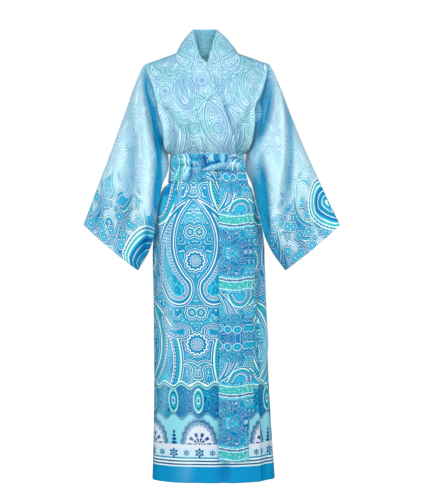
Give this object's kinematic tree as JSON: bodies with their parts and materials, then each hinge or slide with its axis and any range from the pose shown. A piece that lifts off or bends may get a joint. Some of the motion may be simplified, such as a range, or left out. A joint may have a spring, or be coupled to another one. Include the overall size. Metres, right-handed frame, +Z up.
{
  "type": "kimono",
  "caption": "Long wrapped kimono robe with wide open sleeves, a crossed band collar and a tied sash with hanging ends, filled out with no wearer.",
  "frame": {"origin": "midway between the two points where the shoulder seams meet the collar, where the wearer's shoulders carry the robe", "axes": "+Z up along the hanging robe, -Y to its front, +X to the wearer's left"},
  "size_m": [0.8013, 0.2385, 1.4149],
  "materials": {
    "printed_cotton": "printed cotton satin with a soft sheen, pale aqua above and turquoise and blue below",
    "sash_cotton": "printed cotton satin, turquoise and blue"
  },
  "bodies": {
    "root": {"back": "printed_cotton", "front_right": "printed_cotton", "front_left": "printed_cotton", "band_right": "printed_cotton", "band_left": "printed_cotton", "band_right_skirt": "printed_cotton", "band_left_skirt": "printed_cotton", "sleeve_right": "printed_cotton", "sleeve_left": "printed_cotton", "sash": "sash_cotton", "sash_knot": "sash_cotton", "sash_end_upper": "sash_cotton", "sash_end_under": "sash_cotton"}
  },
  "joints": []
}
